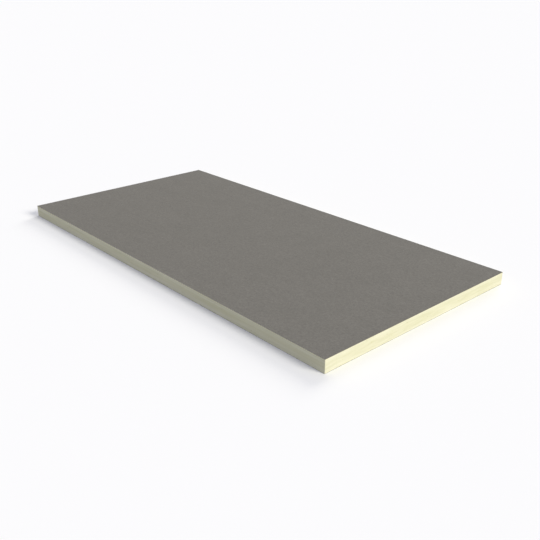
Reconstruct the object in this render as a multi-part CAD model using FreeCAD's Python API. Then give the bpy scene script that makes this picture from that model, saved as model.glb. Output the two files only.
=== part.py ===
import FreeCAD, Part
import os

# Laminated insulation board: a rigid closed-cell polyiso foam core, foamed between two felt facers and
# then sawn square on all four sides. One cut trims facers and foam, so their edges are flush.
# Lengths are in millimetres. X runs along the board, Y across it and Z up.
# The origin is the middle of the underside.

# Driving dimensions
board_length = 2438.4  # 8 ft, sawn end to sawn end
board_width = 1219.2  # 4 ft, sawn side to sawn side
board_thickness = 63.5  # 2 1/2 in, measured over both facers
facer_thickness = 0.9  # one web of glass-reinforced felt
corner_radius = 1.5  # upright corners, where the friable foam loses its arris

# Heights of the two bond lines above the underside
lower_bond_height = facer_thickness
upper_bond_height = board_thickness - facer_thickness


def sawn_outline(height):
    """Plan outline at a height: straight saw cuts joined by quarter rounds, anticlockwise from +X."""
    up = FreeCAD.Vector(0, 0, 1)
    reach_x = board_length / 2 - corner_radius
    reach_y = board_width / 2 - corner_radius
    centres = [(reach_x, reach_y), (-reach_x, reach_y), (-reach_x, -reach_y), (reach_x, -reach_y)]
    corners = []
    for index, (x, y) in enumerate(centres):
        centre = FreeCAD.Vector(x, y, height)
        corners.append(Part.makeCircle(corner_radius, centre, up, 90 * index, 90 * (index + 1)))
    edges = []
    for index, corner in enumerate(corners):
        next_corner = corners[(index + 1) % len(corners)]
        saw_cut = Part.makeLine(corner.lastVertex().Point, next_corner.firstVertex().Point)
        edges += [corner, saw_cut]
    return Part.Wire(edges)


def layer(underside_height, topside_height):
    """One layer of the laminate: the sawn outline raised from its underside to its topside."""
    section = Part.Face(sawn_outline(underside_height))
    return section.extrude(FreeCAD.Vector(0, 0, topside_height - underside_height))


pieces = {
    "bottom_facer": layer(0, lower_bond_height),
    "foam_core": layer(lower_bond_height, upper_bond_height),
    "top_facer": layer(upper_bond_height, board_thickness),
}

os.makedirs("parts", exist_ok=True)
for name, solid in pieces.items():
    solid.exportStep(f"parts/{name}.step")
    box = solid.BoundBox
    size = f"{box.XLength:.1f} x {box.YLength:.1f} x {box.ZLength:.1f} mm"
    print(f"{name}: {size}, {solid.Volume / 1e6:.2f} litres, valid {solid.isValid()}")
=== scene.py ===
import math
import random

import bmesh
import bpy
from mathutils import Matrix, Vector, noise


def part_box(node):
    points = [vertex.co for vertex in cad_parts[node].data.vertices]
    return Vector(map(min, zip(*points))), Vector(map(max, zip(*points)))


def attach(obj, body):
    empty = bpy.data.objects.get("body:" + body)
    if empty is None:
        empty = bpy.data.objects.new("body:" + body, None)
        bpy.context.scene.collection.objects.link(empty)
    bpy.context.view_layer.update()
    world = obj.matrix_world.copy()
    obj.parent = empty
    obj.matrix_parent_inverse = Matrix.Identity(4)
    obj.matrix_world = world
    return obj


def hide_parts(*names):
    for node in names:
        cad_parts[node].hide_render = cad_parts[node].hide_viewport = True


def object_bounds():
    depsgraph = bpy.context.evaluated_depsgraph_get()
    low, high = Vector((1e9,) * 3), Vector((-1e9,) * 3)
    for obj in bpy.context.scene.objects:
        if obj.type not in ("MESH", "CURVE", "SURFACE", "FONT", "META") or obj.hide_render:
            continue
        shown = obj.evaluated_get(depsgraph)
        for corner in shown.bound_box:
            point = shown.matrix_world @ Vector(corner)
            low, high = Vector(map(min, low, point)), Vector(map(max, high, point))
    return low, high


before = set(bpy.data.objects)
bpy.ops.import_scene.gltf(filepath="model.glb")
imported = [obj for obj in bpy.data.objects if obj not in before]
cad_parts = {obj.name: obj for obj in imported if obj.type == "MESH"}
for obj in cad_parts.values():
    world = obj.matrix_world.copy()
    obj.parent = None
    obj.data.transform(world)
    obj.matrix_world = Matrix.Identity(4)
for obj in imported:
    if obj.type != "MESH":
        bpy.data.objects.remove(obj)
cadLow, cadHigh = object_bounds()
scene = bpy.context.scene
scene.view_settings.view_transform = "Standard"
print("frame loaded:", ", ".join(sorted(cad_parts)))


# Node helpers. A socket gets a number, a colour or another node's output, which is linked.

def addNode(tree, kind, settings=None, sockets=None):
    node = tree.nodes.new(kind)
    for key, value in (settings or {}).items():
        setattr(node, key, value)
    for key, value in (sockets or {}).items():
        if isinstance(value, bpy.types.NodeSocket):
            tree.links.new(value, node.inputs[key])
        else:
            node.inputs[key].default_value = value
    return node


def doMath(tree, operation, first, second=0.0, third=0.0):
    sockets = {0: first, 1: second, 2: third}
    return addNode(tree, "ShaderNodeMath", {"operation": operation}, sockets).outputs[0]


def remap(tree, value, start, end, toStart=0.0, toEnd=1.0):
    settings = {"interpolation_type": "SMOOTHSTEP"}
    sockets = {"Value": value, "From Min": start, "From Max": end, "To Min": toStart, "To Max": toEnd}
    return addNode(tree, "ShaderNodeMapRange", settings, sockets).outputs["Result"]


def stretched(tree, vector, size, turn=0.0):
    # A texture on the result repeats about once in each size, after a turn about Z
    sizes = size if isinstance(size, tuple) else (size, size, size)
    sockets = {"Vector": vector, "Scale": sizes, "Rotation": (0, 0, math.radians(turn))}
    return addNode(tree, "ShaderNodeMapping", {"vector_type": "TEXTURE"}, sockets).outputs["Vector"]


def cloudy(tree, vector, detail=2.0, distortion=0.0):
    sockets = {"Vector": vector, "Scale": 1.0, "Detail": detail, "Distortion": distortion}
    return addNode(tree, "ShaderNodeTexNoise", None, sockets).outputs["Fac"]


def celled(tree, vector):
    sockets = {"Vector": vector, "Scale": 1.0}
    return addNode(tree, "ShaderNodeTexVoronoi", {"feature": "F1"}, sockets).outputs


def combine(tree, x, y, z):
    return addNode(tree, "ShaderNodeCombineXYZ", None, {"X": x, "Y": y, "Z": z}).outputs["Vector"]


def weighted(tree, layers, shares, start=0.0):
    total = start
    for name, share in shares.items():
        total = doMath(tree, "MULTIPLY_ADD", layers[name], share, total)
    return total


# The mix node has a pair of sockets for each kind of value, so they are reached by number

def mixValues(tree, factor, first, second):
    sockets = {0: factor, 2: first, 3: second}
    return addNode(tree, "ShaderNodeMix", {"data_type": "FLOAT"}, sockets).outputs[0]


def mixColours(tree, factor, first, second):
    sockets = {0: factor, 6: first, 7: second}
    return addNode(tree, "ShaderNodeMix", {"data_type": "RGBA"}, sockets).outputs[2]


def mixShaders(tree, factor, first, second):
    return addNode(tree, "ShaderNodeMixShader", None, {0: factor, 1: first, 2: second}).outputs[0]


def dress(tree, shader, finish, layers, smoothing):
    # Colour and relief from the weighted layers, roughness from the one that smooths the surface
    tone = weighted(tree, layers, finish["toneShares"], finish["toneStart"])
    colour = mixColours(tree, tone, *finish["toneColours"])
    tree.links.new(colour, shader.inputs["Base Color"])
    rough = remap(tree, smoothing, *finish["smoothingSpan"], *finish["roughness"])
    tree.links.new(rough, shader.inputs["Roughness"])
    shader.inputs["Specular IOR Level"].default_value = finish["specularLevel"]
    relief = weighted(tree, layers, finish["reliefShares"])
    sockets = {"Height": relief, "Distance": finish["reliefDepth"], "Strength": finish["reliefStrength"]}
    bump = addNode(tree, "ShaderNodeBump", None, sockets)
    tree.links.new(bump.outputs["Normal"], shader.inputs["Normal"])


def newSurface(name):
    material = bpy.data.materials.new(name)
    material.use_nodes = True
    tree = material.node_tree
    return material, tree, tree.nodes["Principled BSDF"]


# Felt of the facers: a grey web of paper and glass fibre, matte and nearly even from a distance

feltFinish = {
    "toneColours": ((0.092, 0.088, 0.078, 1), (0.247, 0.235, 0.212, 1)),   # dark and pale
    "toneStart": -0.062,
    "toneShares": {"cloud": 0.14, "flock": 0.58, "grain": 0.30, "lines": 0.12, "fibres": 0.26,
                   "flecks": 0.22},
    "webDetail": 3.0,                # octaves of noise in the first four layers
    "cloudSize": 0.110,              # metres, uneven formation of the web
    "flockSize": 0.011,
    "flockCurl": 0.7,
    "grainSize": 0.0026,
    "grainCurl": 0.5,
    "lineSize": (0.9, 0.02, 1.0),    # faint lines along the web
    "fibreSize": (0.0085, 0.0009, 0.0009),
    "fibreTurns": (4, 33, 62, 95, 121, 154),   # degrees
    "fibreDetail": 1.0,
    "fibreBend": 0.6,
    "fibreCrest": (0.58, 0.74),      # the top of the noise is fibre
    "fleckSize": 0.009,
    "fleckSpot": (0.24, 0.10),       # from the rim of a fleck to its middle, by its size
    "fleckless": 0.9,                # share of places with none
    "specularLevel": 0.2,
    "smoothingSpan": (0.0, 1.0),
    "roughness": (0.97, 0.84),       # between fibres and on them
    "reliefShares": {"fibres": 0.5, "grain": 0.6, "flock": 0.5},
    "reliefDepth": 0.0003,
    "reliefStrength": 0.6,
}


def makeFelt():
    finish = feltFinish
    material, tree, shader = newSurface("greyFelt")
    place = addNode(tree, "ShaderNodeTexCoord").outputs["Object"]
    detail = finish["webDetail"]
    layers = {
        "cloud": cloudy(tree, stretched(tree, place, finish["cloudSize"]), detail),
        "flock": cloudy(tree, stretched(tree, place, finish["flockSize"]), detail, finish["flockCurl"]),
        "grain": cloudy(tree, stretched(tree, place, finish["grainSize"]), detail, finish["grainCurl"]),
        "lines": cloudy(tree, stretched(tree, place, finish["lineSize"]), detail),
    }

    # Crossing fibres: the crests of noise that is drawn out in a few directions
    fibres = 0.0
    for turn in finish["fibreTurns"]:
        drawn = stretched(tree, place, finish["fibreSize"], turn)
        noisy = cloudy(tree, drawn, finish["fibreDetail"], finish["fibreBend"])
        fibres = doMath(tree, "MAXIMUM", remap(tree, noisy, *finish["fibreCrest"]), fibres)
    layers["fibres"] = fibres

    # Pale flecks here and there
    cells = celled(tree, stretched(tree, place, finish["fleckSize"]))
    lot = addNode(tree, "ShaderNodeSeparateColor", None, {"Color": cells["Color"]}).outputs["Red"]
    chosen = doMath(tree, "GREATER_THAN", lot, finish["fleckless"])
    spots = remap(tree, cells["Distance"], *finish["fleckSpot"])
    layers["flecks"] = doMath(tree, "MULTIPLY", chosen, spots)

    dress(tree, shader, finish, layers, fibres)
    return material


# Foam: cream and closed-celled, with flow lines along the cut and a denser skin under each facer

foamFinish = {
    "toneColours": ((0.978, 0.950, 0.727, 1), (0.600, 0.588, 0.272, 1)),   # pale and deep
    "toneStart": -0.36,
    # painted shade: one share darkens the foam deeper inside each open pit
    "toneShares": {"flow": 0.70, "knit": 0.05, "drift": 0.08, "crumbs": 0.10, "cells": 0.08,
                   "sawMarks": 0.03, "skin": 0.16, "heart": 0.12, "bubblePaintedShade": 0.30},
    "sideFlow": 0.40,         # metres, length of a flow line on the long sides
    "endFlow": 0.13,          # and on the ends, where the lines are cut across
    "flowHeight": 0.0125,
    "flowDetail": 2.5,        # octaves of noise in the lines
    "laneWidth": 0.107,       # streams of foam laid side by side, which meet in knit lines on the ends
    "laneRise": 0.0035,
    "laneWobble": 0.03,
    "wobbleSize": (0.3, 0.2, 0.06),
    "knitSpan": (0.08, 0.0),
    "driftSize": 0.4,
    "crumbSize": 0.0045,
    "crumbDetail": 3.0,
    "cellSize": 0.0016,
    "sawMarkSize": (0.0018, 0.0018, 0.045),   # upright scratches of the blade
    "skinDepth": 0.003,
    "heartSpan": (0.8, 0.2),  # from the faces towards the middle, by half the thickness
    "specularLevel": 0.2,
    "smoothingSpan": (0.3, 0.7),
    "roughness": (0.86, 0.97),
    "reliefShares": {"cells": -0.5, "crumbs": 0.6, "flow": 0.4, "knit": -0.3, "sawMarks": 0.35},
    "reliefDepth": 0.0005,
    "reliefStrength": 0.6,
}


def makeFoam(low, high):
    finish = foamFinish
    material, tree, shader = newSurface("creamFoam")
    place = addNode(tree, "ShaderNodeTexCoord").outputs["Object"]
    axes = addNode(tree, "ShaderNodeSeparateXYZ", None, {"Vector": place}).outputs
    pastEnd = doMath(tree, "SUBTRACT", doMath(tree, "ABSOLUTE", axes["X"]), high.x)
    pastSide = doMath(tree, "SUBTRACT", doMath(tree, "ABSOLUTE", axes["Y"]), high.y)
    onEnd = doMath(tree, "GREATER_THAN", pastEnd, pastSide)

    # Lanes arch up between their knit lines, on the ends only
    wobble = cloudy(tree, stretched(tree, place, finish["wobbleSize"]))
    lane = doMath(tree, "MULTIPLY_ADD", wobble, finish["laneWobble"], axes["Y"])
    wave = doMath(tree, "SINE", doMath(tree, "MULTIPLY", lane, math.pi / finish["laneWidth"]))
    arch = doMath(tree, "ABSOLUTE", wave)
    lift = doMath(tree, "MULTIPLY", arch, onEnd)
    height = doMath(tree, "MULTIPLY_ADD", lift, finish["laneRise"], axes["Z"])

    # Flow lines run level along each cut face
    alongSide = doMath(tree, "DIVIDE", axes["X"], finish["sideFlow"])
    alongEnd = doMath(tree, "DIVIDE", axes["Y"], finish["endFlow"])
    along = mixValues(tree, onEnd, alongSide, alongEnd)
    whichFace = mixValues(tree, onEnd, axes["Y"], axes["X"])
    flowPlace = combine(tree, along, doMath(tree, "DIVIDE", height, finish["flowHeight"]), whichFace)

    # A denser skin at the felt and a slightly deeper colour in the middle
    middle = (low.z + high.z) / 2
    reach = (high.z - low.z) / 2
    fromMiddle = doMath(tree, "ABSOLUTE", doMath(tree, "SUBTRACT", axes["Z"], middle))
    heartStart, heartEnd = finish["heartSpan"]

    layers = {
        "flow": cloudy(tree, flowPlace, finish["flowDetail"]),
        "knit": doMath(tree, "MULTIPLY", remap(tree, arch, *finish["knitSpan"]), onEnd),
        "drift": cloudy(tree, stretched(tree, place, finish["driftSize"])),
        "crumbs": cloudy(tree, stretched(tree, place, finish["crumbSize"]), finish["crumbDetail"]),
        "cells": celled(tree, stretched(tree, place, finish["cellSize"]))["Distance"],
        "sawMarks": cloudy(tree, stretched(tree, place, finish["sawMarkSize"])),
        "skin": remap(tree, fromMiddle, reach - finish["skinDepth"], reach),
        "heart": remap(tree, fromMiddle, reach * heartStart, reach * heartEnd),
        # Painted shade, darker deeper inside each open pit, read from the piece's attribute
        "bubblePaintedShade": addNode(tree, "ShaderNodeAttribute", {"attribute_name": "bubblePaintedShade"}).outputs["Fac"],
    }
    dress(tree, shader, finish, layers, layers["crumbs"])
    return material


# Shared by the three layers, which one saw cut trims together

sawCut = {
    "cornerRound": 0.0015,    # metres, upright corners
    "cornerSteps": 4,
    "sharpAngle": 40.0,       # degrees, edges sharper than this stay crisp
}


def sawnSheet(bm, low, high, height, columns, rows):
    bmesh.ops.create_grid(bm, x_segments=columns, y_segments=rows, size=0.5)
    middle = (low + high) / 2
    bmesh.ops.scale(bm, vec=(high.x - low.x, high.y - low.y, 1), verts=bm.verts)
    bmesh.ops.translate(bm, vec=(middle.x, middle.y, height), verts=bm.verts)
    corners = [vert for vert in bm.verts if len(vert.link_edges) == 2]
    bmesh.ops.bevel(bm, geom=corners, offset=sawCut["cornerRound"], offset_type="OFFSET",
                    segments=sawCut["cornerSteps"], profile=0.5, affect="VERTICES", material=-1)


def openEdges(bm):
    return [edge for edge in bm.edges if edge.is_boundary]


def madeVerts(made):
    return [item for item in made["geom"] if isinstance(item, bmesh.types.BMVert)]


def smoothRise(value):
    value = min(max(value, 0.0), 1.0)
    return value * value * (3 - 2 * value)


def halfNoise(x, y, z):
    return 0.5 + 0.5 * noise.noise(Vector((x, y, z)))


# Bake map of a layer's six sides, in bands right across the picture. A long low side is cut into several
# lengths with a band each, so that its detail is as fine along the side as across it.

bakeMap = {
    "gap": 0.008,             # round each band, by the picture's size
}


def layBakeMap(bm, uvLayer, low, high, bands):
    gap = bakeMap["gap"]
    feet = {}
    foot = gap
    for side, (lengths, bandHeight) in bands.items():
        feet[side] = foot
        foot += lengths * (bandHeight + gap)
    size = high - low
    for face in bm.faces:
        centre = face.calc_center_median()
        distances = {
            "endLow": centre.x - low.x, "endHigh": high.x - centre.x,
            "sideLow": centre.y - low.y, "sideHigh": high.y - centre.y,
            "under": centre.z - low.z, "over": high.z - centre.z,
        }
        side = min(distances, key=distances.get)
        lengths, bandHeight = bands[side]
        along = 1 if side.startswith("end") else 0
        up = 1 if side in ("under", "over") else 2
        length = int((centre[along] - low[along]) / size[along] * lengths)
        foot = feet[side] + length * (bandHeight + gap)
        for loop in face.loops:
            share = [(loop.vert.co[axis] - low[axis]) / size[axis] for axis in range(3)]
            across = share[along] * lengths - length
            loop[uvLayer].uv = (gap + (1 - 2 * gap) * across, foot + bandHeight * share[up])


def orderFaces(bm):
    # The operators leave faces in an order that differs from run to run, so each gets a rank of its own
    bm.verts.index_update()
    count = len(bm.verts)
    bm.faces.sort(key=lambda face: face.verts[0].index * count + face.verts[1].index)


def finishPiece(bm, name, node, material):
    bmesh.ops.recalc_face_normals(bm, faces=bm.faces)
    orderFaces(bm)
    sharp = math.radians(sawCut["sharpAngle"])
    for face in bm.faces:
        face.smooth = True
    for edge in bm.edges:
        edge.smooth = edge.calc_face_angle(0.0) < sharp
    mesh = bpy.data.meshes.new(name)
    bm.to_mesh(mesh)
    bm.free()
    mesh.materials.append(material)
    piece = bpy.data.objects.new(name, mesh)
    scene.collection.objects.link(piece)
    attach(piece, "root")
    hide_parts(node)
    print(f"{name}: {len(mesh.vertices)} vertices, {len(mesh.polygons)} faces")


# Foam core: a sawn block whose cut faces wander a little and show open bubbles

coreShape = {
    "stepAlong": 0.008,       # metres, grid of the cut faces
    "stepUp": 0.0031,
    "bladeDrift": 0.00025,    # slow wander of the saw
    "driftLength": 0.45,
    "driftRow": 2.7,          # any number, picks a stretch of noise
    "flowDepth": 0.00022,     # ridges along the cut
    "flowLength": 0.14,
    "flowHeight": 0.007,
    "flowRow": 5.3,
    "flushHeight": 0.004,     # the foam is flush with the felt and falls back over this height
    "bubbles": 270,
    "bubbleOffCorner": 0.016,          # none nearer to an upright corner
    "bubbleOffFelt": 0.0046,           # or to the felt
    "bubbleReach": (0.0006, 0.0042),   # half length
    "bubbleSmall": 2,                  # power that makes small ones commoner
    "bubbleRound": (0.5, 1.0),         # height by length
    "bubbleTall": 0.0024,              # largest half height
    "bubbleDepth": (0.6, 1.0),         # depth by height
    "bubbleUneven": (0.85, 1.12),
    "bubbleRings": ((1.0, 0.0), (0.88, 0.6), (0.5, 1.0)),   # width and depth, from the mouth in
    "bubbleInset": 0.00005,            # of a new ring, before it takes its shape
    "seed": 11,
    "bakeBands": {"sideLow": (4, 0.071), "sideHigh": (4, 0.071),   # number of lengths, height of a band
                  "endLow": (2, 0.071), "endHigh": (2, 0.071),
                  "under": (1, 0.012), "over": (1, 0.012)},
}


def coreBlock(bm, low, high):
    sawnSheet(bm, low, high, low.z, 1, 1)
    longEdges = [edge for edge in bm.edges if edge.calc_length() > coreShape["stepAlong"]]
    for edge in longEdges:
        cuts = round(edge.calc_length() / coreShape["stepAlong"]) - 1
        bmesh.ops.bisect_edges(bm, edges=[edge], cuts=cuts)
    rows = round((high.z - low.z) / coreShape["stepUp"])
    rim = bm.edges[:]
    for row in range(rows):
        raised = set(madeVerts(bmesh.ops.extrude_edge_only(bm, edges=rim)))
        for vert in raised:
            vert.co.z = low.z + (high.z - low.z) * (row + 1) / rows
        rim = [edge for edge in openEdges(bm) if edge.verts[0] in raised]
    bmesh.ops.edgeloop_fill(bm, edges=openEdges(bm))
    bmesh.ops.recalc_face_normals(bm, faces=bm.faces)
    bm.normal_update()


def sawRelief(cutVerts, low, high):
    inwards = [-vert.normal for vert in cutVerts]
    for vert, inward in zip(cutVerts, inwards):
        run = vert.co.x + vert.co.y
        drift = halfNoise(run / coreShape["driftLength"], coreShape["driftRow"], 0)
        rise = vert.co.z / coreShape["flowHeight"]
        flow = halfNoise(run / coreShape["flowLength"], rise, coreShape["flowRow"])
        depth = drift * coreShape["bladeDrift"] + flow * coreShape["flowDepth"]
        toFelt = min(vert.co.z - low.z, high.z - vert.co.z)
        vert.co += inward * depth * smoothRise(toFelt / coreShape["flushHeight"])


def pickBubbles(cutVerts, low, high, rng):
    # Off the corners and the felt, and no two share a point
    corner = coreShape["bubbleOffCorner"]
    margin = coreShape["bubbleOffFelt"]
    clear = [vert for vert in cutVerts
             if low.z + margin < vert.co.z < high.z - margin
             and (abs(vert.co.x) < high.x - corner or abs(vert.co.y) < high.y - corner)]
    rng.shuffle(clear)
    taken = set()
    centres = []
    for centre in clear:
        near = {vert for face in centre.link_faces for vert in face.verts}
        if len(centres) < coreShape["bubbles"] and not near & taken:
            taken |= near
            centres.append(centre)
    return centres


def bubbleForm(floor, rng):
    outward = floor.normal.copy()
    level = Vector((-outward.y, outward.x, 0)).normalized()
    upward = outward.cross(level)
    least, most = coreShape["bubbleReach"]
    reach = least + (most - least) * rng.random() ** coreShape["bubbleSmall"]
    tall = min(reach * rng.uniform(*coreShape["bubbleRound"]), coreShape["bubbleTall"])
    depth = tall * rng.uniform(*coreShape["bubbleDepth"])
    middle = floor.calc_center_bounds()
    sides = len(floor.verts)
    uneven = [rng.uniform(*coreShape["bubbleUneven"]) for side in range(sides)]
    spokes = []
    for vert in floor.verts:
        offset = vert.co - middle
        rise = offset.dot(upward) / coreShape["stepUp"]
        run = offset.dot(level) / coreShape["stepAlong"]
        angle = math.atan2(rise, run)
        side = round(angle / math.tau * sides) % sides
        spokes.append((level * math.cos(angle) * reach + upward * math.sin(angle) * tall) * uneven[side])
    return middle, spokes, outward * -depth


def openBubbles(bm, centres, pitShadeLayer, rng):
    # The four faces round each centre become one, which is inset ring by ring down to the floor
    around = [face for centre in centres for face in centre.link_faces]
    floors = bmesh.ops.dissolve_faces(bm, faces=around)["region"]
    floors.sort(key=lambda floor: tuple(floor.calc_center_bounds()))
    forms = [bubbleForm(floor, rng) for floor in floors]
    for width, sink in coreShape["bubbleRings"]:
        bmesh.ops.inset_individual(bm, faces=floors, thickness=coreShape["bubbleInset"])
        for floor, (middle, spokes, inward) in zip(floors, forms):
            for vert, spoke in zip(floor.verts, spokes):
                vert.co = middle + spoke * width + inward * sink
                # Each ring's depth is also stored as painted shade for the foam's colour
                vert[pitShadeLayer] = sink
    print(f"{len(floors)} bubbles opened")


def buildCore(name, node, material):
    low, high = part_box(node)
    bm = bmesh.new()
    # This layer holds painted shade, darker towards each pit's floor
    pitShadeLayer = bm.verts.layers.float.new("bubblePaintedShade")  # the foam's colour reads it
    uvLayer = bm.loops.layers.uv.new("OFBake")
    coreBlock(bm, low, high)
    cutVerts = [vert for vert in bm.verts if low.z < vert.co.z < high.z]
    sawRelief(cutVerts, low, high)
    bm.normal_update()
    rng = random.Random(coreShape["seed"])
    openBubbles(bm, pickBubbles(cutVerts, low, high, rng), pitShadeLayer, rng)
    layBakeMap(bm, uvLayer, low, high, coreShape["bakeBands"])
    finishPiece(bm, name, node, material)


# Facers: thin felt sheets, a little hollowed by the foam's shrinkage and ragged where they are cut

facerShape = {
    "cell": 0.022,            # metres, grid of the sheet
    "rimCuts": 3,             # more points along each cell of the cut edge
    "ragged": 0.0003,         # how far the cut edge is torn back
    "raggedLength": 0.011,
    "hollow": 0.00022,        # greatest depth
    "hollowWidth": 0.16,
    "hollowRatio": 0.6,       # width by length
    "flatRim": 0.06,          # the hollows fade out this near the cut
    "noiseRows": {"top_felt": 3.7, "bottom_felt": 8.2},   # any numbers, so that the two differ
    "bakeBands": {"outer": (1, 0.88), "inner": (1, 0.012), "rim": (1, 0.012)},   # as in the core
}


def tearEdge(rimVerts, high, noiseRow):
    for vert in rimVerts:
        x, y = vert.co.xy
        torn = halfNoise(x / facerShape["raggedLength"], y / facerShape["raggedLength"], noiseRow)
        shrink = torn * facerShape["ragged"]
        vert.co.x -= math.copysign(shrink, x) * (abs(x) > high.x - sawCut["cornerRound"])
        vert.co.y -= math.copysign(shrink, y) * (abs(y) > high.y - sawCut["cornerRound"])


def hollowSheet(innerVerts, high, inward, noiseRow):
    for vert in innerVerts:
        x, y = vert.co.xy
        toCut = min(high.x - abs(x), high.y - abs(y))
        run = x * facerShape["hollowRatio"] / facerShape["hollowWidth"]
        hollow = halfNoise(run, y / facerShape["hollowWidth"], noiseRow)
        hollow *= smoothRise(toCut / facerShape["flatRim"])
        vert.co.z += inward * facerShape["hollow"] * hollow


def facerBands(outerIsTop):
    bands = facerShape["bakeBands"]
    sideBands = {side: bands["rim"] for side in ("sideLow", "sideHigh", "endLow", "endHigh")}
    sideBands["under"] = bands["inner"] if outerIsTop else bands["outer"]
    sideBands["over"] = bands["outer"] if outerIsTop else bands["inner"]
    return sideBands


def buildFacer(name, node, outerIsTop, material):
    low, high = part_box(node)
    noiseRow = facerShape["noiseRows"][name]
    outer, bond = (high.z, low.z) if outerIsTop else (low.z, high.z)
    bm = bmesh.new()
    uvLayer = bm.loops.layers.uv.new("OFBake")
    columns, rows = (round((high[axis] - low[axis]) / facerShape["cell"]) for axis in (0, 1))
    sawnSheet(bm, low, high, outer, columns, rows)
    straight = [edge for edge in openEdges(bm) if edge.calc_length() > facerShape["cell"] / 2]
    bmesh.ops.bisect_edges(bm, edges=straight, cuts=facerShape["rimCuts"])
    tearEdge([vert for vert in bm.verts if vert.is_boundary], high, noiseRow)
    innerVerts = [vert for vert in bm.verts if not vert.is_boundary]
    hollowSheet(innerVerts, high, math.copysign(1, bond - outer), noiseRow)
    bonded = madeVerts(bmesh.ops.extrude_edge_only(bm, edges=openEdges(bm)))
    bmesh.ops.translate(bm, vec=(0, 0, bond - outer), verts=bonded)
    bmesh.ops.edgeloop_fill(bm, edges=openEdges(bm))
    layBakeMap(bm, uvLayer, low, high, facerBands(outerIsTop))
    finishPiece(bm, name, node, material)


felt = makeFelt()
foam = makeFoam(*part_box("foam_core"))
print("materials made:", felt.name, foam.name)
buildCore("sawn_foam", "foam_core", foam)
buildFacer("top_felt", "top_facer", True, felt)
buildFacer("bottom_felt", "bottom_facer", False, felt)


# Pale floor, even sky and two soft lamps

studio = {
    "floorReach": 90.0,       # metres, from the middle to each side
    "floorDrop": 0.0002,      # below the felt
    "floorSeen": 1.0,         # as the camera sees it
    "floorBounce": 0.36,      # as it lights the board
    "skySeen": 0.98,
    "sky": (0.435, 0.445, 0.522, 1),   # as it lights the board
    "lampColour": (1.0, 0.975, 0.86),
    "softness": 24.0,         # apparent size of each lamp, degrees
    "lampDistance": 5.0,      # only where the lamps are drawn
    "key": {"strength": 2.37, "azimuth": 106.0, "elevation": 30.0},   # azimuth turns from -Y through +X
    "fill": {"strength": 1.21, "azimuth": 200.0, "elevation": 25.0},
}


def seenDirectly(tree):
    path = addNode(tree, "ShaderNodeLightPath").outputs
    seen = doMath(tree, "MAXIMUM", path["Is Camera Ray"], path["Is Glossy Ray"])
    return doMath(tree, "MAXIMUM", seen, path["Is Transmission Ray"])


def grey(level):
    return (level, level, level, 1)


def makeFloor():
    bm = bmesh.new()
    bmesh.ops.create_grid(bm, x_segments=1, y_segments=1, size=studio["floorReach"])
    bmesh.ops.translate(bm, vec=(0, 0, cadLow.z - studio["floorDrop"]), verts=bm.verts)
    mesh = bpy.data.meshes.new("paleFloor")
    bm.to_mesh(mesh)
    bm.free()
    material, tree, shader = newSurface("paleFloor")
    tree.nodes.remove(shader)
    seen = addNode(tree, "ShaderNodeBsdfDiffuse", None, {"Color": grey(studio["floorSeen"])})
    bounce = addNode(tree, "ShaderNodeBsdfDiffuse", None, {"Color": grey(studio["floorBounce"])})
    mixed = mixShaders(tree, seenDirectly(tree), bounce.outputs[0], seen.outputs[0])
    tree.links.new(mixed, tree.nodes["Material Output"].inputs["Surface"])
    mesh.materials.append(material)
    floor = bpy.data.objects.new("paleFloor", mesh)
    scene.collection.objects.link(floor)


def makeSky():
    world = bpy.data.worlds.new("studioSky")
    world.use_nodes = True
    tree = world.node_tree
    tree.nodes.clear()
    light = addNode(tree, "ShaderNodeBackground", None, {"Color": studio["sky"]})
    seen = addNode(tree, "ShaderNodeBackground", None, {"Color": grey(studio["skySeen"])})
    mixed = mixShaders(tree, seenDirectly(tree), light.outputs[0], seen.outputs[0])
    addNode(tree, "ShaderNodeOutputWorld", None, {"Surface": mixed})
    scene.world = world


def addLamp(name):
    choice = studio[name]
    lamp = bpy.data.lights.new(name, "SUN")
    lamp.energy = choice["strength"]
    lamp.color = studio["lampColour"]
    lamp.angle = math.radians(studio["softness"])
    azimuth = math.radians(choice["azimuth"])
    elevation = math.radians(choice["elevation"])
    level = math.cos(elevation)
    towards = Vector((math.sin(azimuth) * level, -math.cos(azimuth) * level, math.sin(elevation)))
    sun = bpy.data.objects.new(name, lamp)
    sun.location = towards * studio["lampDistance"]
    sun.rotation_euler = towards.to_track_quat("Z", "Y").to_euler()
    scene.collection.objects.link(sun)


makeFloor()
makeSky()
addLamp("key")
addLamp("fill")
print("floor, sky and lamps made")


# Camera: the photograph's place and direction of view, closer in on the board

viewpoint = {
    "place": (2.786, -2.286, 1.423),   # metres
    "aim": (0.400, -0.154, 0.030),
    "farthest": 200.0,
    "lens": 47.1,                      # millimetres
    "sensor": 36.0,
}

camera = bpy.data.objects.new("camera", bpy.data.cameras.new("camera"))
camera.data.lens = viewpoint["lens"]
camera.data.sensor_width = viewpoint["sensor"]
camera.data.clip_end = viewpoint["farthest"]
camera.location = viewpoint["place"]
gaze = Vector(viewpoint["aim"]) - camera.location
camera.rotation_euler = gaze.to_track_quat("-Z", "Y").to_euler()
scene.collection.objects.link(camera)
scene.camera = camera
print("camera set")
